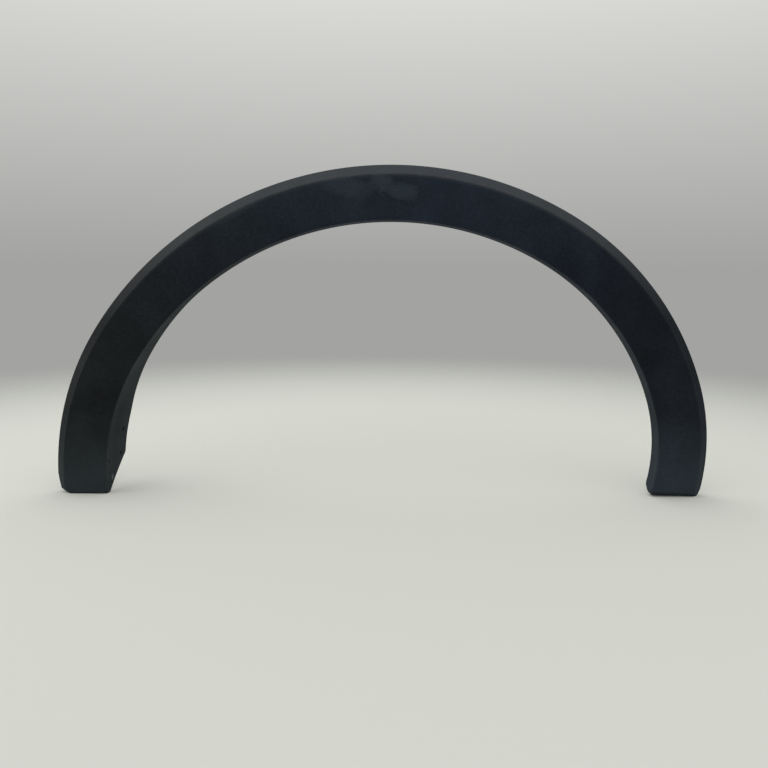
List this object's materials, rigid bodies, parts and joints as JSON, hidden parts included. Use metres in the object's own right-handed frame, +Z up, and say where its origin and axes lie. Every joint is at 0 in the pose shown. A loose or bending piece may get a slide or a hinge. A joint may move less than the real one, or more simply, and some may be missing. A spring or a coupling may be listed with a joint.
{
  "type": "wheel arch trim",
  "caption": "Arched black plastic trim that frames a wheel opening, with a bevelled outer rim, an inner flange that widens to a fixing tab on one leg, and clip houses behind.",
  "frame": {"origin": "middle of the bounding box, at the level of the feet", "axes": "+X along the car, +Y from the visible face into the car body, +Z up"},
  "size_m": [0.9513, 0.073, 0.4687],
  "materials": {
    "grained_plastic": "fine grain, unpainted"
  },
  "bodies": {
    "root": {"arch_moulding": "grained_plastic"}
  },
  "joints": []
}
